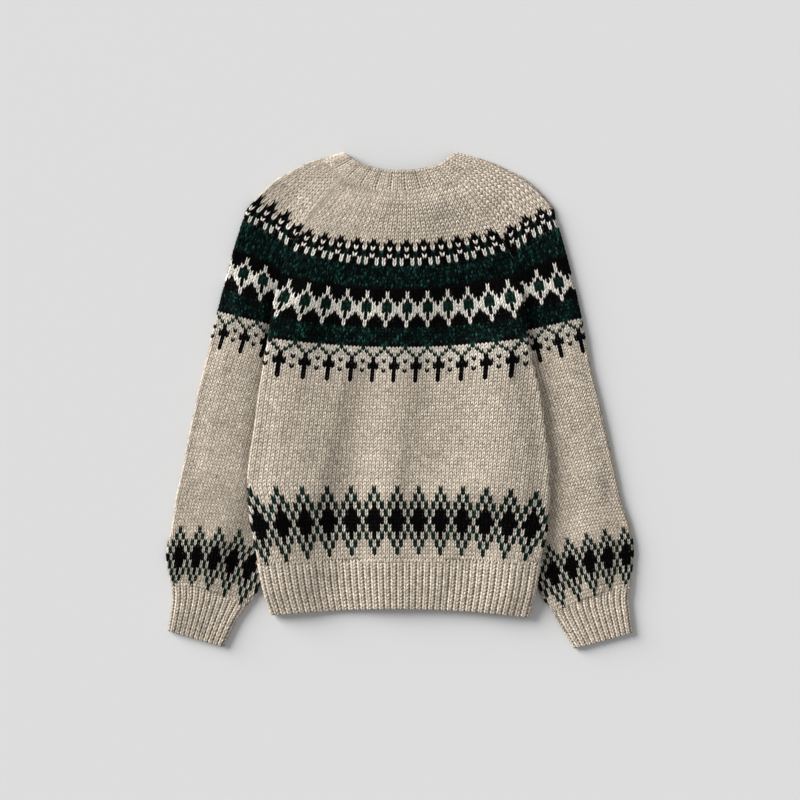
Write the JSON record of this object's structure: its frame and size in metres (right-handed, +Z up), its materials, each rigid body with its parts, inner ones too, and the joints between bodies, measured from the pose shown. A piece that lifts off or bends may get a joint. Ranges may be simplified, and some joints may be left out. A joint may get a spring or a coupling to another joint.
{
  "type": "icelandic cardigan",
  "caption": "Long-sleeved yoke cardigan laid flat, back upwards, with ribbed collar, hem, cuffs and button bands.",
  "frame": {"origin": "on the surface the garment lies on, under the middle of its outline", "axes": "+X to the right of someone looking down at its back, +Y from hem to neck, +Z up from the surface"},
  "size_m": [0.6544, 0.6961, 0.0176],
  "materials": {
    "wool_knit": "stocking stitch wool",
    "wool_rib": "one by one ribbed wool",
    "button": "satin, horn-like"
  },
  "bodies": {
    "root": {"back": "wool_knit", "back_hem_rib": "wool_rib", "left_front": "wool_knit", "right_front": "wool_knit", "left_front_hem_rib": "wool_rib", "right_front_hem_rib": "wool_rib", "left_sleeve": "wool_knit", "right_sleeve": "wool_knit", "left_cuff": "wool_rib", "right_cuff": "wool_rib", "collar": "wool_rib", "left_button_band": "wool_rib", "right_button_band": "wool_rib", "button_1": "button", "button_2": "button", "button_3": "button", "button_4": "button", "button_5": "button", "button_6": "button", "button_7": "button"}
  },
  "joints": []
}
